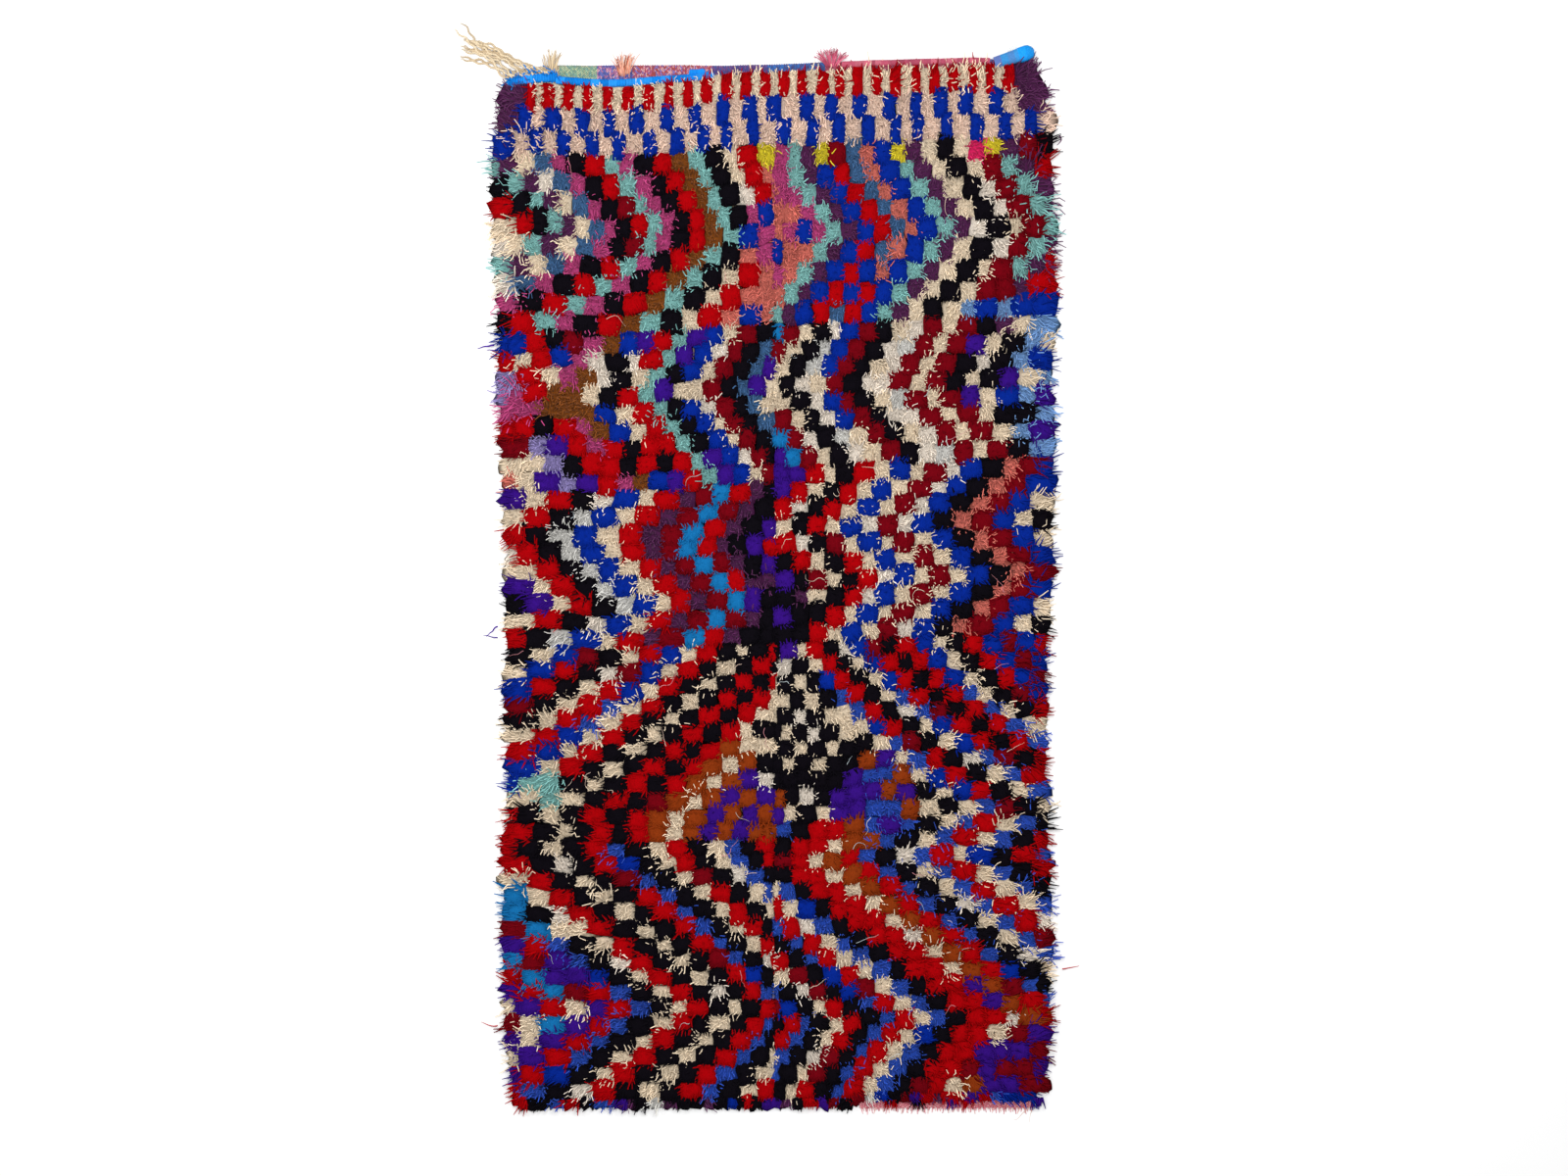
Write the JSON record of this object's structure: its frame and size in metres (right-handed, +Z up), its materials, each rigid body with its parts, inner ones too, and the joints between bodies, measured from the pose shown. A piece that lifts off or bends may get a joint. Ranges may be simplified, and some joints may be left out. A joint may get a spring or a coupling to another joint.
{
  "type": "boucherouite rug",
  "caption": "Shaggy knotted rug lying flat, with checked zigzag pile, a flat-woven heading, a corner tassel of warp ends and a foot band.",
  "frame": {"origin": "on the floor, under the middle of the knotted field", "axes": "+Z up out of the pile, +Y along the rug towards its flat-woven heading, +X to the right as seen from above"},
  "size_m": [1.3942, 2.5298, 0.0297],
  "materials": {
    "pile_yarn": "matt shaggy pile in red, blue, black, cream, violet, aqua, salmon and brown",
    "heading_weave": "matt flat weave in sage, mauve, blue and rose",
    "warp_cotton": "matt undyed cotton yarn",
    "tuft_salmon_yarn": "matt yarn ends",
    "rose_cotton": "matt rose cotton",
    "wrapped_yarn": "soft wrapped yarn"
  },
  "bodies": {
    "root": {"pile_field": "pile_yarn", "heading_band": "heading_weave", "corner_tassel": "warp_cotton", "tuft_cream": "warp_cotton", "tuft_salmon": "tuft_salmon_yarn", "tuft_rose": "rose_cotton", "corner_knot": "wrapped_yarn", "foot_band": "rose_cotton"}
  },
  "joints": []
}
